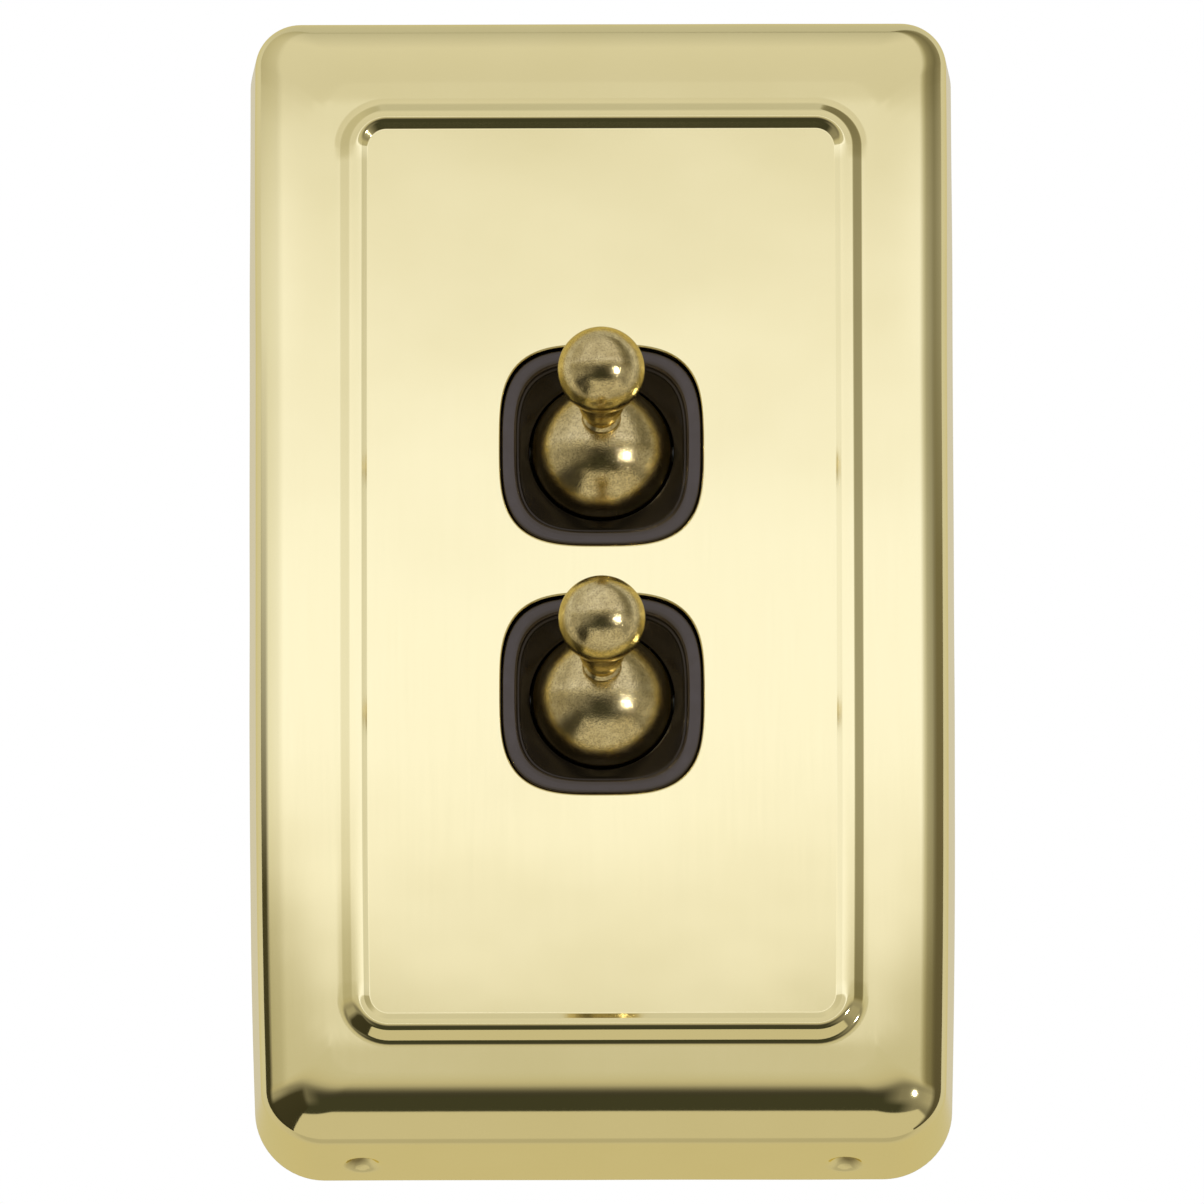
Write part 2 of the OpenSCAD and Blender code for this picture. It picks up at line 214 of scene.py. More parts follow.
def finer(line, longest):
    """The same line with extra points, so that no step is longer than this."""
    out = [line[0]]
    for a, b in zip(line, line[1:]):
        steps = max(1, math.ceil(np.linalg.norm(b - a) / longest))
        out.extend(a + (b - a) * i / steps for i in range(1, steps + 1))
    return np.array(out)


def level_circle(radius, height, segments):
    """A ring of points about Z."""
    angles = np.linspace(0, 2 * math.pi, segments, endpoint=False)
    return np.stack([radius * np.cos(angles), radius * np.sin(angles), np.full(segments, height)], 1)


def lathe(profile, segments):
    """A solid of revolution about Z from a profile of (radius, height) that starts and ends on the axis."""
    rings = [level_circle(radius, height, segments) for radius, height in profile[1:-1]]
    points, faces = loft(rings)
    points = np.concatenate([points, [[0, 0, profile[0][1]], [0, 0, profile[-1][1]]]])
    top = (len(rings) - 1) * segments
    for j in range(segments):
        k = (j + 1) % segments
        faces.append((len(points) - 2, k, j))
        faces.append((top + j, top + k, len(points) - 1))
    return points, faces


def tube_ring(profile, segments):
    """A closed ring about Z from a closed profile of (radius, height)."""
    return loft([level_circle(radius, height, segments) for radius, height in profile], closed_path=True)


def toggle_frame(gang):
    """From the toggle's own frame, whose Z runs out through the ball, to the row frame, in millimetres."""
    turn = Matrix.Rotation(math.pi / 2 - TOGGLE_TILT, 4, "X")
    return Matrix.Translation((0, HINGE_Y, gang_z(gang))) @ turn


def placed(matrix, points):
    m = np.array(matrix)
    return np.asarray(points) @ m[:3, :3].T + m[:3, 3]


def superellipse(half_w, half_h, count=128, squareness=SQUARENESS):
    """A bowed square, as (x, z) points evenly spaced along its outline."""
    a = np.linspace(0, 2 * math.pi, 4001)
    x = half_w * np.sign(np.cos(a)) * np.abs(np.cos(a)) ** (2 / squareness)
    z = half_h * np.sign(np.sin(a)) * np.abs(np.sin(a)) ** (2 / squareness)
    along = np.concatenate([[0], np.cumsum(np.hypot(np.diff(x), np.diff(z)))])
    at = np.linspace(0, along[-1], count, endpoint=False)
    return np.stack([np.interp(at, along, x), np.interp(at, along, z)], 1)


def outward(loop):
    """Unit outward normals of a closed anticlockwise loop of (x, z) points."""
    d = np.roll(loop, -1, 0) - np.roll(loop, 1, 0)
    d /= np.linalg.norm(d, axis=1)[:, None]
    return np.stack([d[:, 1], -d[:, 0]], 1)


def with_y(loop, y):
    return np.stack([loop[:, 0], np.full(len(loop), y), loop[:, 1]], 1)


# ---------------------------------------------------------------- material helpers

class Nodes:
    """A material's node tree, with short ways to add to it."""

    def __init__(self, name):
        self.material = bpy.data.materials.new(name)
        self.material.use_nodes = True
        self.tree = self.material.node_tree
        self.shader = self.tree.nodes["Principled BSDF"]

    def node(self, kind, **values):
        n = self.tree.nodes.new(kind)
        for key, value in values.items():
            setattr(n, key, value)
        return n

    def link(self, out, socket):
        self.tree.links.new(out, socket)

    def place(self, scale=(1, 1, 1)):
        """Object coordinates, which stay with the piece in any pose, stretched by scale."""
        coordinates = self.node("ShaderNodeTexCoord")
        mapping = self.node("ShaderNodeMapping")
        mapping.inputs["Scale"].default_value = scale
        self.link(coordinates.outputs["Object"], mapping.inputs["Vector"])
        return mapping.outputs["Vector"]

    def axes(self):
        """The piece's own X, Y and Z, in metres."""
        split = self.node("ShaderNodeSeparateXYZ")
        self.link(self.place(), split.inputs[0])
        return split.outputs

    def noise(self, scale, detail=3, roughness=0.5, stretch=(1, 1, 1)):
        n = self.node("ShaderNodeTexNoise")
        n.inputs["Scale"].default_value = scale
        n.inputs["Detail"].default_value = detail
        n.inputs["Roughness"].default_value = roughness
        self.link(self.place(stretch), n.inputs["Vector"])
        return n.outputs["Fac"]

    def ramp(self, value, stops):
        """Turns a value into colours: stops are (position, colour or grey)."""
        n = self.node("ShaderNodeValToRGB")
        n.color_ramp.elements.remove(n.color_ramp.elements[1])
        for i, (position, colour) in enumerate(stops):
            element = n.color_ramp.elements[0] if i == 0 else n.color_ramp.elements.new(position)
            element.position = position
            if isinstance(colour, (int, float)):
                colour = (colour, colour, colour)
            element.color = (*colour, 1)
        self.link(value, n.inputs["Fac"])
        return n.outputs["Color"]

    def span(self, value, low, high, from_low=0.0, from_high=1.0):
        n = self.node("ShaderNodeMapRange")
        n.inputs["From Min"].default_value = from_low
        n.inputs["From Max"].default_value = from_high
        n.inputs["To Min"].default_value = low
        n.inputs["To Max"].default_value = high
        self.link(value, n.inputs["Value"])
        return n.outputs["Result"]

    def math(self, operation, a, b):
        n = self.node("ShaderNodeMath", operation=operation)
        for socket, value in zip(n.inputs, (a, b)):
            if isinstance(value, (int, float)):
                socket.default_value = value
            else:
                self.link(value, socket)
        return n.outputs["Value"]

    def mix(self, factor, a, b, blend="MIX"):
        n = self.node("ShaderNodeMix", data_type="RGBA", blend_type=blend)
        if isinstance(factor, (int, float)):
            n.inputs[0].default_value = factor
        else:
            self.link(factor, n.inputs[0])
        for socket, value in ((n.inputs[6], a), (n.inputs[7], b)):
            if isinstance(value, tuple):
                socket.default_value = (*value, 1)
            else:
                self.link(value, socket)
        return n.outputs[2]

    def bump(self, height, distance, strength=1.0, under=None):
        n = self.node("ShaderNodeBump")
        n.inputs["Strength"].default_value = strength
        n.inputs["Distance"].default_value = distance
        self.link(height, n.inputs["Height"])
        if under is not None:
            self.link(under, n.inputs["Normal"])
        return n.outputs["Normal"]

    def set(self, **values):
        for name, value in values.items():
            socket = self.shader.inputs[name.replace("_", " ")]
            if isinstance(value, bpy.types.NodeSocket):
                self.link(value, socket)
            elif isinstance(value, tuple):
                socket.default_value = (*value, 1)
            else:
                socket.default_value = value
        return self.material


def polished_brass():
    """Pressed sheet, buffed and lacquered: nearly a mirror, with faint buffing lines and mottling, and
    painted shade in each clip dimple: a brown darkening that stands in for the dimple's shadow."""
    n = Nodes("polished_brass")
    mottle = n.noise(90, detail=4)
    lines = n.noise(260, detail=5, roughness=0.6, stretch=(9, 9, 0.35))
    colour = n.ramp(mottle, [(0.3, (0.935, 0.84, 0.46)), (0.7, (0.955, 0.86, 0.48))])
    x, y, _ = n.axes()
    # Painted shade: a brown darkening round the middle of each clip dimple stands in for the dimple's
    # shadow.
    aside = n.math("SUBTRACT", n.math("ABSOLUTE", x, 0), DIMPLE_X * MM)
    along = n.math("ADD", y, (WALL_GAP + DIMPLE_UP - 0.1) * MM)
    away = n.math("SQRT", n.math("ADD", n.math("POWER", aside, 2), n.math("POWER", along, 2)), 0)
    colour = n.mix(n.span(away, 0.85, 0, 0.55 * MM, 1.45 * MM), colour, (0.20, 0.15, 0.06))
    roughness = n.math("ADD", n.span(mottle, 0.05, 0.07), n.span(lines, 0.0, 0.02))
    normal = n.bump(lines, 0.0000010)
    normal = n.bump(n.noise(55, detail=2), 0.000010, under=normal)
    return n.set(Base_Color=colour, Metallic=1.0, Roughness=roughness, Normal=normal,
                 Specular_Tint=(0.95, 0.88, 0.60))


def worn_brass():
    """Turned brass handled for years: soft gloss, fine pits and darker specks."""
    n = Nodes("worn_brass")
    grain = n.noise(1500, detail=6, roughness=0.75)
    cloud = n.noise(260, detail=5, roughness=0.65)
    specks = n.noise(5200, detail=2)
    pitting = n.ramp(specks, [(0.34, 0.0), (0.50, 1.0)])
    base = n.ramp(cloud, [
        (0.28, (0.62, 0.50, 0.24)), (0.5, (0.80, 0.67, 0.36)), (0.72, (0.88, 0.755, 0.44)),
    ])
    colour = n.mix(n.span(grain, 0.0, 0.60, 0.42, 0.72), base, (0.36, 0.28, 0.13))
    colour = n.mix(n.span(pitting, 0.65, 1.0), (0.26, 0.20, 0.10), colour)
    roughness = n.math("ADD", n.span(cloud, 0.07, 0.18, 0.3, 0.7), n.span(grain, 0.0, 0.12, 0.4, 0.7))
    normal = n.bump(pitting, 0.000008, 0.6)
    normal = n.bump(grain, 0.00002, 0.8, under=normal)
    return n.set(Base_Color=colour, Metallic=1.0, Roughness=roughness, Normal=normal,
                 Specular_Tint=(0.88, 0.80, 0.52))


def plain_brass():
    """Stamped and machined terminal brass with a dull bloom."""
    n = Nodes("plain_brass")
    bloom = n.noise(420, detail=4)
    lines = n.noise(1500, detail=3, stretch=(1, 6, 1))
    colour = n.ramp(bloom, [
        (0.3, (0.62, 0.47, 0.20)), (0.55, (0.80, 0.65, 0.33)), (0.75, (0.84, 0.71, 0.40)),
    ])
    normal = n.bump(lines, 0.00001, 0.6)
    return n.set(Base_Color=colour, Metallic=1.0, Roughness=n.span(bloom, 0.22, 0.42), Normal=normal)


def copper():
    n = Nodes("copper")
    bloom = n.noise(500, detail=4)
    colour = n.ramp(bloom, [(0.3, (0.66, 0.33, 0.19)), (0.7, (0.86, 0.52, 0.36))])
    normal = n.bump(n.noise(1800, stretch=(1, 1, 8)), 0.000008, 0.6)
    return n.set(Base_Color=colour, Metallic=1.0, Roughness=n.span(bloom, 0.2, 0.38), Normal=normal)


def silver():
    n = Nodes("silver")
    bloom = n.noise(800, detail=4)
    colour = n.ramp(bloom, [(0.3, (0.62, 0.61, 0.58)), (0.7, (0.88, 0.87, 0.84))])
    return n.set(Base_Color=colour, Metallic=1.0, Roughness=n.span(bloom, 0.18, 0.4),
                 Normal=n.bump(bloom, 0.00001, 0.5))


def steel():
    """Zinc plated steel, a little blue and cloudy."""
    n = Nodes("steel")
    cloud = n.noise(350, detail=5, roughness=0.6)
    colour = n.ramp(cloud, [
        (0.3, (0.50, 0.52, 0.56)), (0.55, (0.66, 0.67, 0.69)), (0.75, (0.74, 0.73, 0.68)),
    ])
    return n.set(Base_Color=colour, Metallic=1.0, Roughness=n.span(cloud, 0.2, 0.42),
                 Normal=n.bump(n.noise(1600, detail=3), 0.000012, 0.6))


def brown_plastic():
    """Glossy dark brown moulding, nearly black, with painted shade down in its well: darker, duller and
    less glossy there.
    """
    n = Nodes("brown_plastic")
    cloud = n.noise(140, detail=4)
    # Painted shade: deeper than the rim, the well's colour is darkened and its gloss lowered, standing in
    # for the shade that falls in it.
    painted_well_shade = n.span(n.axes()[1], 0, 1, (BEZEL_FACE + 0.25) * MM, (BEZEL_FACE + 0.75) * MM)
    colour = n.ramp(cloud, [(0.3, (0.014, 0.0105, 0.009)), (0.7, (0.024, 0.018, 0.0155))])
    colour = n.mix(painted_well_shade, colour, (0.006, 0.005, 0.004))
    roughness = n.math("ADD", n.span(n.noise(800), 0.10, 0.20), n.span(painted_well_shade, 0.0, 0.08))
    normal = n.bump(n.noise(300, detail=2), 0.00001, 0.7)
    return n.set(Base_Color=colour, Roughness=roughness, Normal=normal,
                 Specular_IOR_Level=n.span(painted_well_shade, 1.0, 0.42), Specular_Tint=(1.0, 0.88, 0.80))


def moulded_plastic(name, dark, light, roughness):
    """Satin moulding with a fine spark-eroded grain and faint flow marks."""
    n = Nodes(name)
    cloud = n.noise(45, detail=5, roughness=0.6)
    grain = n.noise(2600, detail=3, roughness=0.7)
    colour = n.ramp(cloud, [(0.3, dark), (0.7, light)])
    colour = n.mix(n.span(grain, 0.0, 0.12, 0.3, 0.7), colour, tuple(c * 0.7 for c in dark))
    normal = n.bump(grain, 0.00003, 0.6)
    normal = n.bump(cloud, 0.00012, 0.4, under=normal)
    return n.set(Base_Color=colour, Roughness=n.span(grain, roughness - 0.07, roughness + 0.1),
                 Normal=normal, Specular_IOR_Level=0.5)


MATERIALS = {
    "polished_brass": polished_brass(),
    "worn_brass": worn_brass(),
    "plain_brass": plain_brass(),
    "copper": copper(),
    "silver": silver(),
    "steel": steel(),
    "brown_plastic": brown_plastic(),
    "cream_plastic": moulded_plastic("cream_plastic", (0.66, 0.60, 0.46), (0.74, 0.69, 0.55), 0.42),
    "grey_plastic": moulded_plastic("grey_plastic", (0.085, 0.082, 0.080), (0.125, 0.12, 0.115), 0.46),
}


# ---------------------------------------------------------------- cover plate

CORNER_STEPS = 16
SHORT_STEPS = 200
LONG_STEPS = 60


def rounded_rectangle(half_w, half_h, radius, low_radius=None):
    """(x, z) points and outward normals round a rounded rectangle, whose lower corners may be turned on
    another radius. Every size gives equally many points."""
    places = []
    normals = []
    low = radius if low_radius is None else low_radius
    quarters = (
        (half_w - radius, half_h - radius, radius, 0, SHORT_STEPS),
        (radius - half_w, half_h - radius, radius, 90, LONG_STEPS),
        (low - half_w, low - half_h, low, 180, SHORT_STEPS),
        (half_w - low, low - half_h, low, 270, LONG_STEPS),
    )
    for i, (x, z, r, start, steps) in enumerate(quarters):
        angles = np.radians(np.linspace(start, start + 90, CORNER_STEPS + 1))
        turn = np.stack([np.cos(angles), np.sin(angles)], 1)
        corner = np.array([x, z]) + r * turn
        next_x, next_z, next_r = quarters[(i + 1) % 4][:3]
        straight_end = np.array([next_x, next_z]) + next_r * turn[-1]
        t = np.linspace(0, 1, steps + 1)[1:-1, None]
        places += [corner, corner[-1] + t * (straight_end - corner[-1])]
        normals += [turn, np.repeat(turn[-1:], steps - 1, 0)]
    return np.concatenate(places), np.concatenate(normals)


def smooth(t):
    t = np.clip(t, 0, 1)
    return t * t * (3 - 2 * t)


def dimple_depth(x, height):
    """How far a clip dimple, struck with a round punch, is pressed into the top or bottom wall here."""
    away = np.hypot(np.abs(x) - DIMPLE_X, height - WALL_GAP - DIMPLE_UP)
    ball = np.sqrt(np.clip(DIMPLE_R ** 2 - away ** 2, 0, None)) - DIMPLE_R + DIMPLE_DEPTH
    return 0.5 * (ball + np.sqrt(ball ** 2 + 0.01)) * smooth((2.6 - away) / 0.7)


def edge_outline(inset):
    """The outline this far in from the rim: its corners get tighter towards the flat front."""
    share = max(0.0, 1 - inset / FLAT_INSET) ** 2
    top = FLAT_CORNER_R + (TOP_CORNER_R - FLAT_CORNER_R) * share
    low = FLAT_CORNER_R + (LOW_CORNER_R - FLAT_CORNER_R) * share
    return HALF_W - inset, HALF_H - inset, top, low


def cover_wall_ring(inset, height):
    """A ring of the folded edge, this far in from the rim's outline and this far from the wall plane."""
    places, normals = rounded_rectangle(*edge_outline(inset))
    flat = np.abs(normals[:, 1]) > 0.999
    pressed = np.where(flat, dimple_depth(places[:, 0], height), 0)
    places = places - normals * pressed[:, None]
    return with_y(places, -height)


def roll_reach(slope):
    """(along, down) of the roll from the flat's edge to this slope. Its radius eases out of the flat."""
    angles = (np.arange(200) + 0.5) * slope / 200
    step = (ROLL_R + ROLL_EASE * np.clip(1 - angles / ROLL_EASE_END, 0, None) ** 2) * slope / 200
    return (step * np.cos(angles)).sum(), (step * np.sin(angles)).sum()


ROLL_REACH = roll_reach(ROLL_END)
BEND_HEIGHT = RIM_D - ROLL_REACH[1] - BEND_R * math.cos(ROLL_END)
WALL_TOP = BEND_HEIGHT + BEND_R * math.sin(DRAFT)
BEND_INSET = (WALL_TOP - WALL_GAP) * math.tan(DRAFT) + BEND_R * math.cos(DRAFT)
FLAT_INSET = BEND_INSET - BEND_R * math.sin(ROLL_END) + ROLL_REACH[0]


def edge_section(thickness):
    """(inset, height) from the bottom of the wall up over the bend and the roll to the flat front. The
    outer face has no thickness and the inner face lies the sheet's thickness inside it."""
    wall = np.concatenate([np.arange(WALL_GAP + 0.36, 7.6, 0.24), np.linspace(7.8, WALL_TOP, 4)[:-1]])
    line = [((h - WALL_GAP) * math.tan(DRAFT), h, math.pi / 2 - DRAFT) for h in wall]
    for slope in np.linspace(math.pi / 2 - DRAFT, ROLL_END, 12):
        line.append((BEND_INSET - BEND_R * math.sin(slope), BEND_HEIGHT + BEND_R * math.cos(slope), slope))
    for slope in ROLL_END * np.linspace(1, 0, 40)[1:] ** 1.3:
        along, down = roll_reach(slope)
        line.append((FLAT_INSET - along, RIM_D - down, slope))
    return [(inset + thickness * math.sin(slope), height - thickness * math.cos(slope))
            for inset, height, slope in line]


def bead_ring(out, height):
    """A ring this far out from the bead's crest and this far from the wall plane."""
    places, _ = rounded_rectangle(CREST_HALF_W + out, CREST_HALF_H + out, CREST_CORNER_R + out)
    return with_y(places + (0, BEAD_UP), -height)


def flat_ring(share, outer, inner, height):
    """A ring of the flat front, between the outline of its edge and a ring of the bead."""
    edge = with_y(rounded_rectangle(*outer)[0], -height)
    return edge + (inner * (1, 0, 1) - edge * (1, 0, 1)) * share


def bead_side(slope, straight, foot_r):
    """(out, drop) down one side of the bead, from just beside its crest to the end of its foot."""
    side = [(CREST_R * math.sin(a), CREST_R * (1 - math.cos(a))) for a in np.linspace(0, slope, 9)[1:]]
    out, drop = side[-1]
    out += straight * math.cos(slope)
    drop += straight * math.sin(slope)
    middle = out + foot_r * math.sin(slope)
    base = drop + foot_r * (1 - math.cos(slope))
    side += [(middle - foot_r * math.sin(a), base - foot_r * (1 - math.cos(a)))
             for a in np.linspace(slope, 0, 7)]
    return side


def bead_profile():
    """(out, height from the wall) across the bead, from its outer foot over the crest to its inner foot."""
    inner = bead_side(INNER_SLOPE, INNER_STRAIGHT, INNER_FOOT_R)
    outer = bead_side(OUTER_SLOPE, OUTER_STRAIGHT, OUTER_FOOT_R)
    crest = COVER_D + inner[-1][1]
    stretch = (crest - RIM_D) / outer[-1][1]
    line = [(out, crest - drop * stretch) for out, drop in outer[::-1]]
    line.append((0.0, crest))
    return line + [(-out, crest - drop) for out, drop in inner]


def panel(outer_ring, holes, height, backwards):
    """Triangles that fill the panel inside outer_ring and round the holes. Returns points and faces."""
    loops = [outer_ring[:, [0, 2]]]
    for hole in holes:
        loops.append(hole)
        for out in (0.06, 0.5, 1.4):
            loops.append(hole + outward(hole) * out)
    coordinates = []
    edges = []
    for loop in loops:
        first = len(coordinates)
        coordinates += [Vector(p) for p in loop]
        edges += [(first + i, first + (i + 1) % len(loop)) for i in range(len(loop))]
    reach_x, reach_z = np.abs(loops[0]).max(0)
    step = 2.3
    room = 1.2
    round_holes = loops[4::4]
    for x in np.arange(-reach_x + step, reach_x - step / 2, step):
        for z in np.arange(-reach_z + step, reach_z - step / 2, step):
            clear = all(not inside(loop, x, z, room) for loop in round_holes)
            if clear and min(reach_x - abs(x), reach_z - abs(z)) > room:
                coordinates.append(Vector((x, z)))
    out, _, faces, *_ = delaunay_2d_cdt(coordinates, edges, [], 0, 1e-5)
    points = np.array([(p[0], -height, p[1]) for p in out])
    kept = []
    for face in faces:
        middle = points[list(face)].mean(0)
        if not inside(loops[0], middle[0], middle[2], 0):
            continue
        if any(inside(hole, middle[0], middle[2], 0) for hole in holes):
            continue
        a, b, c = (points[i] for i in face)
        area = (b[0] - a[0]) * (c[2] - a[2]) - (b[2] - a[2]) * (c[0] - a[0])
        kept.append(tuple(face) if (area > 0) != backwards else tuple(face)[::-1])
    return points, kept


def inside(loop, x, z, margin):
    """Whether a point is inside a closed loop, or within margin of it."""
    a = loop
    b = np.roll(loop, -1, 0)
    crosses = (a[:, 1] > z) != (b[:, 1] > z)
    rise = np.where(crosses, b[:, 1] - a[:, 1], 1)
    at = a[:, 0] + (z - a[:, 1]) / rise * (b[:, 0] - a[:, 0])
    if np.count_nonzero(crosses & (x < at)) % 2:
        return True
    return margin > 0 and np.hypot(a[:, 0] - x, a[:, 1] - z).min() < margin


def hole_edge(hole, height, inner_height):
    """Rings through the thickness of an aperture's punched edge, which rolls in softly at the front."""
    roll, burr = EDGE_ROLL, EDGE_BURR
    profile = [(0, 0)]
    profile += [(roll * math.sin(a), roll * (1 - math.cos(a))) for a in np.radians([22, 45, 67, 90])]
    profile += [(roll, height - inner_height - burr), (roll - burr, height - inner_height)]
    normals = outward(hole)
    return [with_y(hole - normals * inset, -(height - back)) for inset, back in profile]


def press(points):
    """Moves the cover's points by the front's slight crown, the rim's tilt beyond the bead, the bow of the
    long sides, the lean of each wall and the waviness of pressed sheet."""
    x, y, z = points.T
    height = -y / COVER_D
    front = smooth((height - 0.15) / 0.8)
    side = smooth(np.abs(x) / HALF_W * 4 - 2.6)
    bow = np.where(x < 0, LEFT_BOW, RIGHT_BOW) * (1 - BOW_SHIFT * np.sign(z))
    bowed = x * (1 - bow * np.abs(z / HALF_H) ** 3)
    crown = CROWN * (z / HALF_H) ** 2 + SIDE_CROWN * (x / HALF_W) ** 2
    wave = np.array([noise.noise(Vector(p) / WAVE_LENGTH) for p in points])
    wall_wave = WALL_WAVE * wave * (1 - 0.7 * front)
    beyond_bead = np.clip(np.abs(z - BEAD_UP) - CREST_HALF_H - BEAD_REACH, 0, None)
    moved_y = y + (crown + RIM_TILT * beyond_bead + FRONT_WAVE * wave) * front
    long_side = side * (1 - front)
    lean = LOW_LEAN * np.clip(height, 0, 1) * smooth((HALF_H - 0.8 + z) / -7.0 + 1.0)
    moved_z = z * (1 + wall_wave * (1 - side) / HALF_H) + lean
    out = np.clip(height, 0, 1) * side * (SIDE_LEAN + TOP_LEAN * smooth((z - 20) / 30))
    moved_x = bowed * (1 + wall_wave * long_side / HALF_W) + out * np.sign(x)
    return np.stack([moved_x, moved_y, moved_z], 1)


def cover():
    edge = 0.12
    lip_inset = edge * math.tan(DRAFT)
    outside = [(0.5 * edge, WALL_GAP + 0.02), (lip_inset, WALL_GAP + edge)] + edge_section(0.0)
    rings = [cover_wall_ring(inset, height) for inset, height in outside]

    flat_outline = edge_outline(FLAT_INSET)
    profile = bead_profile()
    outer_foot = bead_ring(profile[0][0], RIM_D)
    inner_end = profile[-1][0]
    rings += [flat_ring(s, flat_outline, outer_foot, RIM_D) for s in (0.05, 0.25, 0.5, 0.75, 0.95)]
    rings += [bead_ring(out, height) for out, height in profile]
    rings += [bead_ring(inner_end - back, COVER_D) for back in (0.06, 0.5)]
    outer_points, outer_faces = loft(rings)
    outer_faces = [f[::-1] for f in outer_faces]

    aside = SHEET / math.cos(DRAFT)
    inside_line = [(aside - 0.5 * edge, WALL_GAP + 0.02), (aside + lip_inset, WALL_GAP + edge)]
    inner_rings = [cover_wall_ring(inset, height) for inset, height in inside_line + edge_section(SHEET)]
    inner_front = COVER_D - SHEET
    inner_rings += [flat_ring(s, flat_outline, outer_foot, RIM_D - SHEET) for s in (0.33, 0.66, 1.0)]
    inner_rings.append(bead_ring(0.4, COVER_D))
    inner_rings.append(bead_ring(inner_end, inner_front))
    inner_points, inner_faces = loft(inner_rings)

    holes = []
    for gang in GANGS:
        hole = superellipse(APERTURE[0] + EDGE_ROLL, APERTURE[1] + EDGE_ROLL)
        hole[:, 1] += gang_z(gang)
        holes.append(hole)
    front_points, front_faces = panel(rings[-1], holes, COVER_D, backwards=True)
    back_holes = [hole - outward(hole) * (EDGE_ROLL - EDGE_BURR) for hole in holes]
    back_points, back_faces = panel(inner_rings[-1], back_holes, inner_front, backwards=False)

    parts = [(outer_points, outer_faces), (inner_points, inner_faces), (front_points, front_faces),
             (back_points, back_faces)]
    lip, lip_faces = loft([rings[0], inner_rings[0]])
    parts.append((lip, lip_faces))
    for hole in holes:
        edge_points, edge_faces = loft(hole_edge(hole, COVER_D, inner_front))
        parts.append((edge_points, [f[::-1] for f in edge_faces]))
    points = []
    faces = []
    for part_points, part_faces in parts:
        start = sum(len(p) for p in points)
        points.append(part_points)
        faces += [tuple(i + start for i in face) for face in part_faces]
    piece = make_mesh("cover_shell", press(np.concatenate(points)), faces, MATERIALS["polished_brass"],
                      "cover", ["cover_plate"])
    weld(piece, 0.004)
    return piece


def weld(piece, distance_mm):
    """Joins the parts of a mesh where their points meet, and turns every face outwards."""
    b = bmesh.new()
    b.from_mesh(piece.data)
    bmesh.ops.remove_doubles(b, verts=b.verts, dist=distance_mm * MM)
    bmesh.ops.recalc_face_normals(b, faces=b.faces)
    b.to_mesh(piece.data)
    b.free()
    piece.data.shade_smooth()


# ---------------------------------------------------------------- bezels

def bezel(gang):
    """A glossy moulded ring: bowed-square rim, a ledge, a funnelled well and a round hole for the dome."""
    count = 160

    def square_ring(inset, y):
        loop = superellipse(BEZEL_HALF[0] - inset, BEZEL_HALF[1] - inset, count)
        return with_y(loop, y)

    def round_ring(radius, y):
        loop = superellipse(BEZEL_HALF[0], BEZEL_HALF[1], count)
        a = np.arctan2(loop[:, 1], loop[:, 0])
        return with_y(radius * np.stack([np.cos(a), np.sin(a)], 1), y)

    ledge = BEZEL_FACE + 0.62
    section = rounded([
        (0.0, BEZEL_FACE + 1.3), (0.0, BEZEL_FACE), (BEZEL_RIM, BEZEL_FACE + 0.02),
        (BEZEL_RIM + 0.1, ledge - 0.02), (BEZEL_RIM + 0.34, ledge), (BEZEL_RIM + 0.40, ledge + 0.3),
        (BEZEL_RIM + 0.55, ledge + 0.36),
    ], [0.2, 0.28, 0.07, 0.08, 0.08], steps=6)
    section = finer(section, 0.5)
    rings = [square_ring(inset, y) for inset, y in section]
    hole = DOME_R + 0.07
    last = rings[-1]
    rim = round_ring(hole + 0.1, BEZEL_BACK - 0.4)
    rings += [last + (rim - last) * s for s in np.linspace(0, 1, 7)[1:]]
    rings += [round_ring(hole + 0.02, BEZEL_BACK - 0.34), round_ring(hole, BEZEL_BACK - 0.24),
              round_ring(hole, BEZEL_BACK)]
    back = rings[0].copy()
    back[:, 1] = BEZEL_BACK
    rings.append(back)
    points, faces = loft(rings, closed_path=True)
    points[:, 2] += gang_z(gang)
    piece = make_mesh(gang + "_bezel_ring", points, faces, MATERIALS["brown_plastic"], "base",
                      [gang + "_bezel"])
    weld(piece, 0.002)
    return piece


# ---------------------------------------------------------------- toggles

def knob(gang):
    """Ball, waisted neck and foot in one turned piece."""
    seat = math.degrees(math.asin(2.45 / BALL_R))
    neck = rounded([
        (1.5, 6.2), (1.9, 6.9), (1.9, 7.1), (1.62, 7.4), (1.72, 8.0), (2.2, 8.8), (2.36, 9.6), (2.42, 10.4),
        (2.45, 11.75),
    ], [0.05, 0.05, 0.2, 0.4, 0.8, 1.5, 2.0, 1.2], steps=4)
    ball = arc((0, TOGGLE_REACH), BALL_R, -90 + seat, 90, 40)
    profile = [(0, 2.5), (1.5, 2.5)] + [tuple(p) for p in finer(neck, 0.3)] + [tuple(p) for p in ball]
    points, faces = lathe(profile, 112)
    piece = make_mesh(gang + "_knob_turned", placed(toggle_frame(gang), points), faces,
                      MATERIALS["worn_brass"], "toggle_" + gang, [gang + "_knob"])
    weld(piece, 0.001)
    return piece


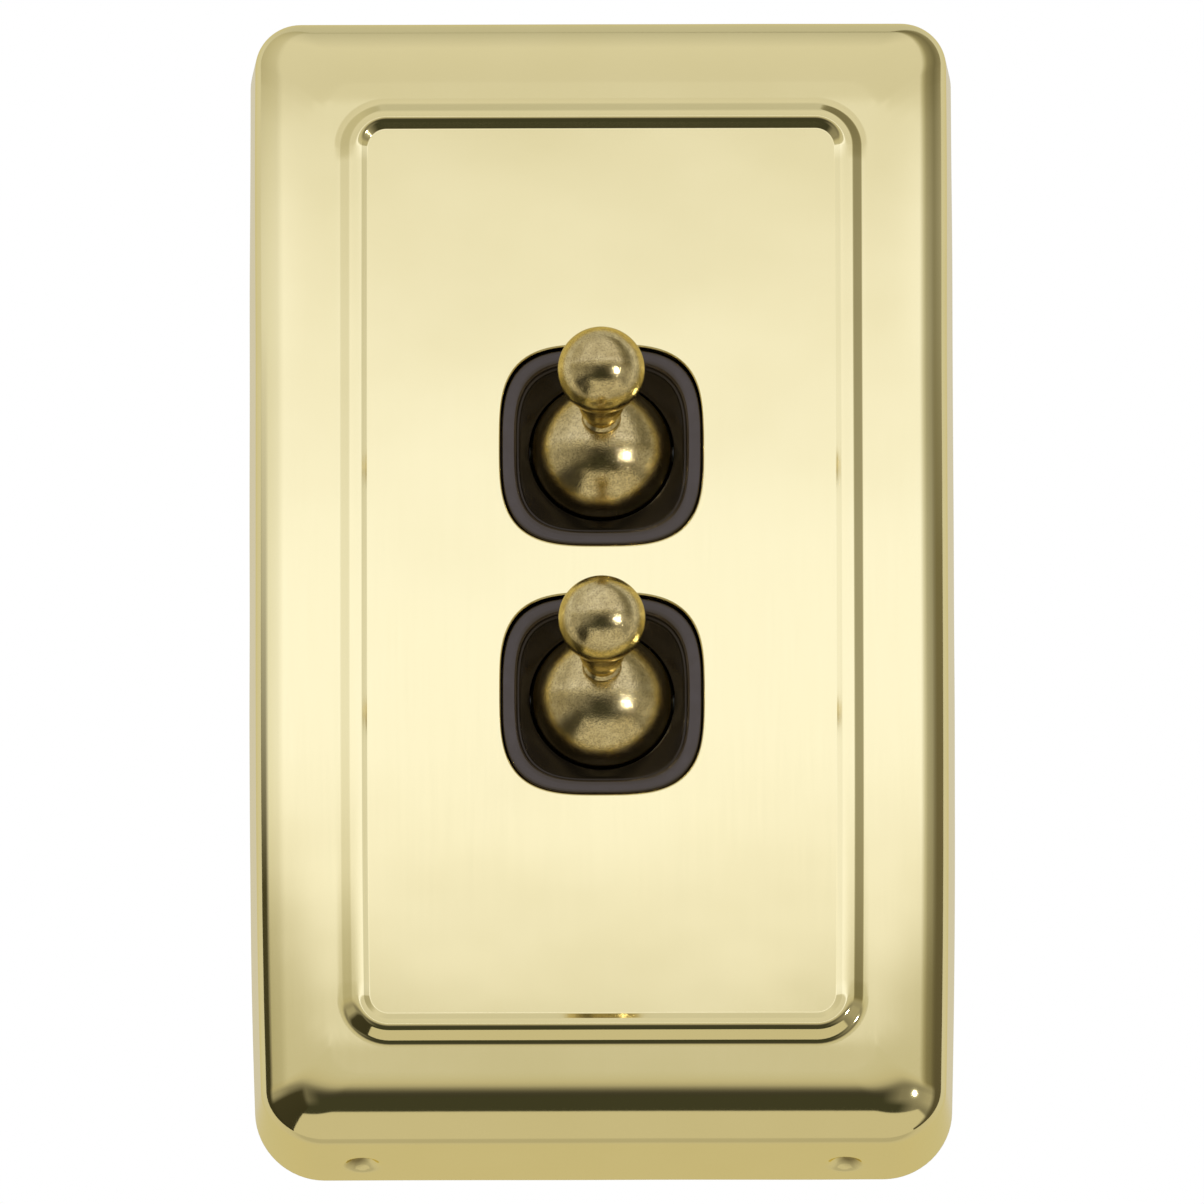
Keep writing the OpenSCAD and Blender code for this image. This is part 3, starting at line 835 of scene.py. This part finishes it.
def dome(gang):
    """The hollow spun dome, with a rolled edge round the neck's hole and at its tail."""
    hole = 1.9
    top = math.degrees(math.acos(hole / DOME_R))
    tail = -math.degrees(math.asin(DOME_TAIL / DOME_R))
    inner_r = DOME_R - DOME_T
    inner_top = math.degrees(math.acos(hole / inner_r))
    inner_tail = -math.degrees(math.asin(DOME_TAIL / inner_r))
    outer = arc((0, 0), DOME_R, tail, top - 1.0, 52)
    lip = [(hole + 0.03, DOME_R * math.sin(math.radians(top)) - 0.05),
           (hole, DOME_R * math.sin(math.radians(top)) - 0.16)]
    inner = arc((0, 0), inner_r, inner_top, inner_tail, 24)
    profile = [tuple(p) for p in outer] + lip + [tuple(p) for p in inner]
    points, faces = tube_ring(profile, 128)
    piece = make_mesh(gang + "_dome_spun", placed(toggle_frame(gang), points), faces,
                      MATERIALS["worn_brass"], "toggle_" + gang, [gang + "_dome"])
    weld(piece, 0.001)
    return piece


def spring(gang):
    """Closed-and-ground coil spring under the plunger."""
    low, high = -4.35, -2.45
    turns = 3.0
    per_turn = 36
    wire = 0.2
    radius = 1.45
    centres = []
    for i in range(int(turns * per_turn) + 1):
        a = i / per_turn * 2 * math.pi
        height = low + (high - low) * i / (turns * per_turn)
        centres.append(Vector((radius * math.cos(a), radius * math.sin(a), height)))
    rings = []
    for i, centre in enumerate(centres):
        ahead = centres[min(i + 1, len(centres) - 1)] - centres[max(i - 1, 0)]
        ahead.normalize()
        out = Vector((centre.x, centre.y, 0)).normalized()
        side = ahead.cross(out)
        turn = [2 * math.pi * j / 12 for j in range(12)]
        rings.append(np.array([centre + wire * (math.cos(t) * out + math.sin(t) * side) for t in turn]))
    points, faces = loft(rings, first_cap=True, last_cap=True)
    matrix = toggle_frame(gang)
    piece = make_mesh(gang + "_spring_coil", placed(matrix, points), faces, MATERIALS["steel"],
                      "toggle_" + gang, [gang + "_plunger_spring"])
    weld(piece, 0.001)
    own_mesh(piece)
    return piece


# ---------------------------------------------------------------- fixing screws

def fixing_screw(sign):
    """A slotted cheese-head screw with a rolled thread, head towards the front."""
    low, high = box_mm("fixing_screws")
    thread_r, root_r = 1.75, 1.42
    pitch = 0.6
    head_r, head_t = 3.4, 2.2
    seat = low[1] + head_t
    end = high[1]
    segments = 40
    per_pitch = 10
    angles = np.linspace(0, 2 * math.pi, segments, endpoint=False)
    rings = []

    def ring(radius, y):
        radius = np.broadcast_to(radius, angles.shape)
        rings.append(np.stack([radius * np.cos(angles), np.full(segments, y), radius * np.sin(angles)], 1))

    for r, y in rounded([(0.3, low[1]), (head_r, low[1]), (head_r, seat), (1.4, seat), (1.4, 0.3)],
                        [0.35, 0.12, 0.1], 4):
        ring(r, y)
    steps = int((end - 0.5) / pitch * per_pitch)
    for i in range(steps + 1):
        y = 0.5 + (end - 0.5) * i / steps
        phase = (y / pitch - angles / (2 * math.pi)) % 1
        ridge = np.clip(np.abs(phase - 0.5) * 2.4 - 0.1, 0, 1)
        fade = min(1, (end - y) / 0.9) * min(1, (y - 0.5) / 0.6 + 0.05)
        crest = thread_r - 0.35 * max(0, 1 - (end - y) / 0.9)
        ring(crest - (thread_r - root_r) * (1 - ridge) * fade - 0.33 * (1 - fade), y)
    points, faces = loft(rings, first_cap=True, last_cap=True)
    points[:, 2] += sign * FIXING_Z
    piece = make_mesh(f"fixing_screw_{'top' if sign > 0 else 'bottom'}", points, faces, MATERIALS["steel"],
                      "base", ["fixing_screws"])
    cut_slot(piece, sign * FIXING_Z, low[1], head_r)
    return piece


def cut_slot(piece, z, front, reach):
    """Cuts the driver slot across a screw head that faces -Y."""
    half, depth = 0.45, 1.0
    corners = [(x, y, z + dz) for x in (-reach - 1, reach + 1) for y in (front - 1, front + depth)
               for dz in (-half, half)]
    faces = [(0, 1, 3, 2), (4, 6, 7, 5), (0, 4, 5, 1), (2, 3, 7, 6), (0, 2, 6, 4), (1, 5, 7, 3)]
    mesh = bpy.data.meshes.new("slot_cutter")
    mesh.from_pydata([tuple(np.array(c) * MM) for c in corners], [], faces)
    cutter = bpy.data.objects.new("slot_cutter", mesh)
    bpy.context.scene.collection.objects.link(cutter)
    modifier = piece.modifiers.new("slot", "BOOLEAN")
    modifier.operation = "DIFFERENCE"
    modifier.object = cutter
    modifier.solver = "EXACT"
    bpy.context.view_layer.update()
    done = bpy.data.meshes.new_from_object(piece.evaluated_get(bpy.context.evaluated_depsgraph_get()))
    piece.modifiers.clear()
    piece.data = done
    piece.data.shade_smooth()
    piece.data.set_sharp_from_angle(angle=math.radians(40))
    bpy.data.objects.remove(cutter)


# ---------------------------------------------------------------- nodes kept from the frame

def finish_node(name, slot, edge_mm):
    """Gives a CAD node its material and softens its moulded or stamped edges."""
    piece = frame["nodes"][name]
    piece.data.materials.clear()
    piece.data.materials.append(MATERIALS[slot])
    merge = piece.modifiers.new("merge", "WELD")
    merge.merge_threshold = 0.001 * MM
    if edge_mm:
        flat = piece.modifiers.new("flat faces", "DECIMATE")
        flat.decimate_type = "DISSOLVE"
        flat.angle_limit = math.radians(1.5)
        soft = piece.modifiers.new("soft edges", "BEVEL")
        soft.width = edge_mm * MM
        soft.segments = 2
        soft.limit_method = "ANGLE"
        soft.angle_limit = math.radians(40)
        soft.harden_normals = True
        soft.use_clamp_overlap = True


KEPT = {
    "housing": 0.15, "terminal_housing": 0.15, "core": 0.1, "pivot_pin": 0.08, "plunger": 0.06,
    "rocker": 0.12, "rocker_pin": 0.08, "moving_contact": 0.05, "moving_tips": 0.08, "fixed_tips": 0.08,
    "terminal_1": 0.08, "terminal_2": 0.08, "terminal_common": 0.08, "terminal_screws": 0.08,
}


def kept_nodes():
    slots = {s["node"]: s["material_slot"] for s in frame["record"]["subparts"]}
    finish_node("base_frame", slots["base_frame"], 0.25)
    for gang in GANGS:
        for name, edge in KEPT.items():
            node = f"{gang}_{name}"
            finish_node(node, slots[node], edge)


# ---------------------------------------------------------------- studio

VIEW_DOWN = math.radians(15)
VIEW_ROLL = math.radians(0.13)
CAMERA_DISTANCE = 4.0
CAMERA_TARGET = Vector((0.00002, -0.007, -0.00107))
FRAME_WIDTH = 0.12283
SENSOR = 36.0


def camera():
    data = bpy.data.cameras.new("camera")
    data.sensor_width = SENSOR
    data.lens = SENSOR * CAMERA_DISTANCE / FRAME_WIDTH
    data.clip_start = 0.1
    data.clip_end = 20
    eye = bpy.data.objects.new("camera", data)
    towards_eye = Vector((0, -math.cos(VIEW_DOWN), -math.sin(VIEW_DOWN)))
    eye.location = CAMERA_TARGET + CAMERA_DISTANCE * towards_eye
    level = (CAMERA_TARGET - eye.location).to_track_quat("-Z", "Y").to_matrix()
    eye.rotation_euler = (level @ Matrix.Rotation(-VIEW_ROLL, 3, "Z")).to_euler()
    bpy.context.scene.collection.objects.link(eye)
    bpy.context.scene.camera = eye


def floor():
    """A pale floor far below, which no reflection shows."""
    half, z = 30, -1.5
    mesh = bpy.data.meshes.new("floor")
    mesh.from_pydata([(-half, -half, z), (half, -half, z), (half, half, z), (-half, half, z)], [],
                     [(0, 1, 2, 3)])
    piece = bpy.data.objects.new("floor", mesh)
    bpy.context.scene.collection.objects.link(piece)
    n = Nodes("floor")
    n.set(Base_Color=(0.9, 0.9, 0.9), Roughness=0.9)
    piece.data.materials.append(n.material)
    piece.visible_glossy = False


class WorldNodes(Nodes):
    def __init__(self):
        world = bpy.data.worlds.new("studio")
        bpy.context.scene.world = world
        world.use_nodes = True
        self.tree = world.node_tree
        self.background = self.tree.nodes["Background"]


def studio():
    """A white room seen by the camera, and a studio of soft panels and dark gaps seen in reflections."""
    n = WorldNodes()
    coordinates = n.node("ShaderNodeTexCoord")
    split = n.node("ShaderNodeSeparateXYZ")
    n.link(coordinates.outputs["Generated"], split.inputs[0])
    x, y, z = split.outputs
    elevation = n.math("MULTIPLY", n.math("ARCSINE", z, 0), 180 / math.pi)
    azimuth = n.math("MULTIPLY", n.math("ARCTAN2", x, n.math("MULTIPLY", y, -1)), 180 / math.pi)

    def by_angle(angle, stops, low, high):
        share = n.span(angle, 0, 1, low, high)
        return n.ramp(share, [((a - low) / (high - low), c) for a, c in stops])

    def warm(level):
        return (level, level * 0.93, level * 0.74)

    # The big soft panel ahead, which the flat front mirrors: brightest just below its middle
    wide = by_angle(elevation, [
        (-18, warm(0.04)), (-9, warm(0.06)), (-5, warm(0.11)), (-1, warm(0.25)), (2, warm(0.43)),
        (6, warm(0.56)), (11, (0.60, 0.575, 0.50)), (19, (0.69, 0.67, 0.645)), (30, (0.70, 0.68, 0.65)),
        (60, (0.72, 0.70, 0.67)), (90, (0.54, 0.53, 0.50)),
    ], -90, 90)
    panel_part = by_angle(elevation, [
        (11, (0.60, 0.575, 0.50)), (12.4, (0.59, 0.565, 0.49)), (13.2, (0.575, 0.545, 0.475)),
        (13.4, (0.585, 0.56, 0.49)), (13.6, (0.86, 0.85, 0.86)), (13.8, (1.03, 1.02, 1.13)),
        (14.1, (1.12, 1.13, 1.30)), (14.6, (1.13, 1.16, 1.41)), (15.1, (1.11, 1.14, 1.38)),
        (15.4, (1.05, 1.07, 1.27)), (16.0, (0.93, 0.925, 1.02)), (16.6, (0.85, 0.85, 0.90)),
        (16.78, (0.73, 0.71, 0.68)),
        (17.1, (0.70, 0.68, 0.655)), (19, (0.69, 0.67, 0.645)),
    ], 11, 19)
    in_panel = n.math("MULTIPLY", n.span(elevation, 0, 1, 10.9, 11), n.span(elevation, 1, 0, 19, 19.1))
    front = n.mix(in_panel, wide, panel_part)
    around = by_angle(azimuth, [
        (-180, 0.74), (-96, (0.70, 0.68, 0.60)), (-76, (0.78, 0.765, 0.68)), (-60, (0.84, 0.83, 0.78)),
        (-50, 1.0), (51, 1.0), (57, (0.62, 0.60, 0.50)), (62, (0.40, 0.38, 0.29)),
        (76, (0.25, 0.235, 0.17)), (90, (0.40, 0.38, 0.30)), (180, 0.74),
    ], -180, 180)
    upper = n.mix(1.0, front, around, "MULTIPLY")
    low_front = by_angle(azimuth, [
        (-180, warm(0.5)), (-150, warm(0.25)), (-130, warm(0.06)), (-58, warm(0.06)),
        (-36, (0.050, 0.050, 0.032)), (26, (0.050, 0.050, 0.032)), (44, warm(0.22)), (120, warm(0.26)),
        (150, warm(0.5)), (180, warm(0.5)),
    ], -180, 180)
    lower = n.mix(n.span(elevation, 0, 1, -18, -8), low_front, front)
    ahead = n.mix(n.span(elevation, 0, 1, -2, 8), lower, upper)

    # To both sides the dark gap just under the panel is dimly lit, so that the front isn't black when it
    # is seen from the side
    beside = by_angle(azimuth, [
        (-180, 1.0), (-26, 1.0), (-13, 0.0), (10, 0.0), (24, 1.0), (180, 1.0),
    ], -180, 180)
    low_sides = by_angle(azimuth, [
        (-180, warm(0.50)), (-95, warm(0.46)), (-62, warm(0.38)), (-45, warm(0.26)), (-26, warm(0.20)),
        (26, warm(0.22)), (45, warm(0.28)), (62, warm(0.38)), (95, warm(0.46)), (180, warm(0.50)),
    ], -180, 180)
    level = n.math("MULTIPLY", n.span(elevation, 1, 0, -6, 5), n.span(elevation, 0, 1, -28, -18))
    ahead = n.mix(n.math("MULTIPLY", beside, level), ahead, low_sides)

    # A white sheet lying below and in front, with a straight far edge
    depth = n.math("MAXIMUM", n.math("MULTIPLY", z, -1), 0.001)
    forward = n.span(n.math("DIVIDE", n.math("MULTIPLY", y, -1), depth), 1, 0, 1.04, 1.12)
    to_left = n.span(n.math("DIVIDE", x, depth), 0, 1, -1.0, -0.9)
    to_right = n.span(n.math("DIVIDE", x, depth), 1, 0, 1.35, 1.5)
    sheet = n.math("MULTIPLY", n.math("MULTIPLY", forward, to_left), to_right)
    with_sheet = n.mix(n.math("MULTIPLY", sheet, n.span(z, 1, 0, -0.3, -0.2)), ahead, warm(0.60))

    back = by_angle(elevation, [
        (-90, warm(0.52)), (-78, warm(0.48)), (-62, warm(0.48)), (-50, warm(0.58)), (-25, warm(0.62)),
        (0, (0.63, 0.61, 0.55)),
        (15, (0.66, 0.64, 0.59)), (40, (0.66, 0.65, 0.62)), (90, (0.54, 0.53, 0.50)),
    ], -90, 90)
    room = n.mix(n.span(y, 0, 1, 0.0, 0.03), with_sheet, back)
    path = n.node("ShaderNodeLightPath")
    seen = n.mix(path.outputs["Is Camera Ray"], room, (1.0, 1.0, 1.0))
    n.link(seen, n.background.inputs["Color"])
    n.background.inputs["Strength"].default_value = 1.0


def lamp(name, direction, distance, size, strength):
    data = bpy.data.lights.new(name, "AREA")
    data.shape = "DISK"
    data.size = size
    data.energy = strength
    piece = bpy.data.objects.new(name, data)
    piece.location = Vector(direction).normalized() * distance
    piece.rotation_euler = (-piece.location).to_track_quat("-Z", "Y").to_euler()
    piece.visible_camera = False
    bpy.context.scene.collection.objects.link(piece)


def card(name, side, front, back, low, high, stops, fades):
    """A glowing flat card beside the object, seen only in reflections; the dark ones are painted shadow.
    Its colour follows Z and its cover fades along Y and Z, from clear to solid. Lengths are in millimetres."""
    n = Nodes(name)
    axes = n.axes()
    share = n.span(axes[2], 0, 1, low * MM, high * MM)
    colour = n.ramp(share, [((a - low) / (high - low), c) for a, c in stops])
    cover_share = 1.0
    for axis, clear, solid in fades:
        fade = n.span(axes[axis], 0, 1, clear * MM, solid * MM)
        cover_share = n.math("MULTIPLY", fade, cover_share)
    glow = n.node("ShaderNodeEmission")
    n.link(colour, glow.inputs["Color"])
    see_through = n.node("ShaderNodeBsdfTransparent")
    blend = n.node("ShaderNodeMixShader")
    n.link(cover_share, blend.inputs[0])
    n.link(see_through.outputs[0], blend.inputs[1])
    n.link(glow.outputs[0], blend.inputs[2])
    n.link(blend.outputs[0], n.tree.nodes["Material Output"].inputs["Surface"])
    corners = [(side, front, low), (side, front, high), (side, back, high), (side, back, low)]
    mesh = bpy.data.meshes.new(name)
    mesh.from_pydata([tuple(np.array(c) * MM) for c in corners], [], [(0, 1, 2, 3)])
    piece = bpy.data.objects.new(name, mesh)
    bpy.context.scene.collection.objects.link(piece)
    piece.data.materials.append(n.material)
    piece.visible_camera = False
    piece.visible_shadow = False
    piece.visible_diffuse = False


def shadow_cards():
    """Painted shadow: dark glowing cards that stand in for the plate's shadow on the wall beside it: one
    hugging each side, darker and denser downwards, for the dark bands along the folds, and one low on the
    left, for the dark lower corner."""
    # Painted shadow: each card's dark glow stands in for the plate's shadow on the wall, darker downwards.
    stops = [(-75, (0.03, 0.027, 0.016)), (-30, (0.06, 0.054, 0.03)), (40, (0.16, 0.14, 0.09))]
    card("left_shadow_card", -44, -14.2, -10.6, -75, 40, stops, [(1, -14.2, -12.8), (2, 30, -30)])
    stops = [(-75, (0.07, 0.062, 0.04)), (-20, (0.15, 0.13, 0.085)), (60, (0.24, 0.22, 0.14))]
    card("right_shadow_card", 44, -15.6, -10.6, -75, 60, stops, [(1, -15.6, -13.6), (2, 55, 5)])
    stops = [(-110, (0.04, 0.037, 0.022)), (-56, (0.05, 0.045, 0.028))]
    card("low_left_shadow_card", -70, -110, -14, -110, -56, stops, [(1, -110, -90), (2, -56, -64)])


scene = bpy.context.scene
scene.view_settings.view_transform = "Standard"
scene.view_settings.look = "None"

camera()
floor()
studio()
shadow_cards()
lamp("right_lamp", direction=(0.64, -0.73, -0.20), distance=1.6, size=0.13, strength=3.4)

cover()
for gang in GANGS:
    bezel(gang)
    knob(gang)
    dome(gang)
    spring(gang)
for sign in (1, -1):
    fixing_screw(sign)
kept_nodes()

bpy.context.view_layer.update()
